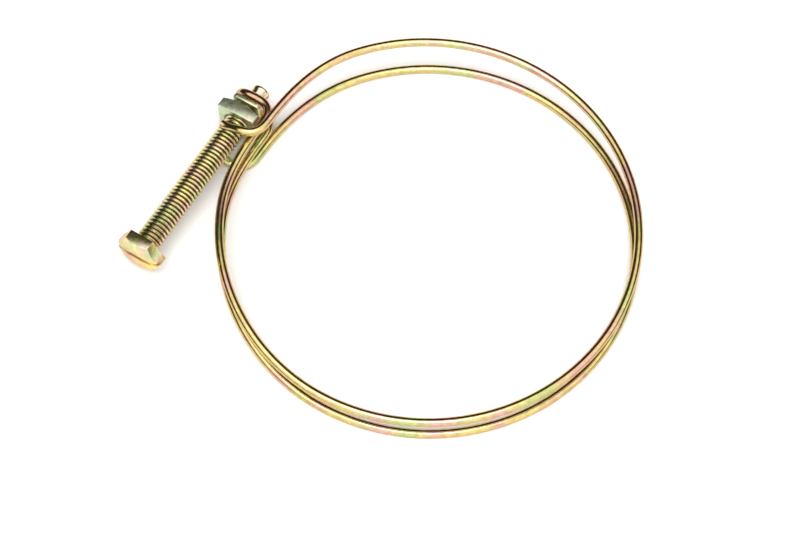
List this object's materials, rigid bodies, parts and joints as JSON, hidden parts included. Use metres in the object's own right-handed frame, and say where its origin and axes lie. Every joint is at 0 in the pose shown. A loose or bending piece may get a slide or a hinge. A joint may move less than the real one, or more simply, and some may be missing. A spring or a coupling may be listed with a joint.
{
  "type": "wire hose clamp",
  "caption": "Double-wire hose clamp: a doubled steel wire ring closed by a slotted hexagon-head screw that spreads its overlapped ends with a square nut and thrust plate.",
  "frame": {"origin": "middle of the clamp's box, on the surface that it lies on", "axes": "+Z along the ring's axis, up from the surface; +X from the screw's head towards the far side of the ring"},
  "size_m": [0.1169, 0.0954, 0.0141],
  "materials": {
    "plated_wire": "yellow-passivated zinc plate, bright, with pink and green tints",
    "plated_nut": "yellow-passivated zinc plate, satin",
    "plated_plate": "yellow-passivated zinc plate, satin",
    "plated_screw": "yellow-passivated zinc plate, bright"
  },
  "bodies": {
    "hook_side": {"upper_hook_wire": "plated_wire", "lower_hook_wire": "plated_wire"},
    "loop_side": {"loop_wire": "plated_wire"},
    "nut": {"square_nut": "plated_nut"},
    "pusher": {"thrust_plate": "plated_plate"},
    "screw": {"hex_screw": "plated_screw"}
  },
  "joints": [
    {"name": "ring_close", "type": "hinge", "parent": "hook_side", "child": "loop_side", "pos_m": [0.05054, -0.02445, 0.007], "axis": [0, 0, -1], "range_deg": [0, 11.6]},
    {"name": "nut_tilt", "type": "hinge", "parent": "hook_side", "child": "nut", "pos_m": [-0.03238, 0.02914, 0.007], "axis": [0, 0, -1], "range_deg": [0, 8.25]},
    {"name": "screw_advance", "type": "slide", "parent": "nut", "child": "pusher", "axis": [0.5235, 0.852, 0], "range_m": [0, 0.02]},
    {"name": "screw_turn", "type": "hinge", "parent": "pusher", "child": "screw", "pos_m": [-0.03355, 0.02722, 0.007], "axis": [0.5235, 0.852, 0], "range_deg": [0, 7200]}
  ],
  "couplings": [
    {"joint": "nut_tilt", "follows": "ring_close", "ratio": 0.71},
    {"joint": "screw_advance", "follows": "ring_close", "m_per_rad": 0.0987},
    {"joint": "screw_turn", "follows": "ring_close", "ratio": 620.15}
  ]
}
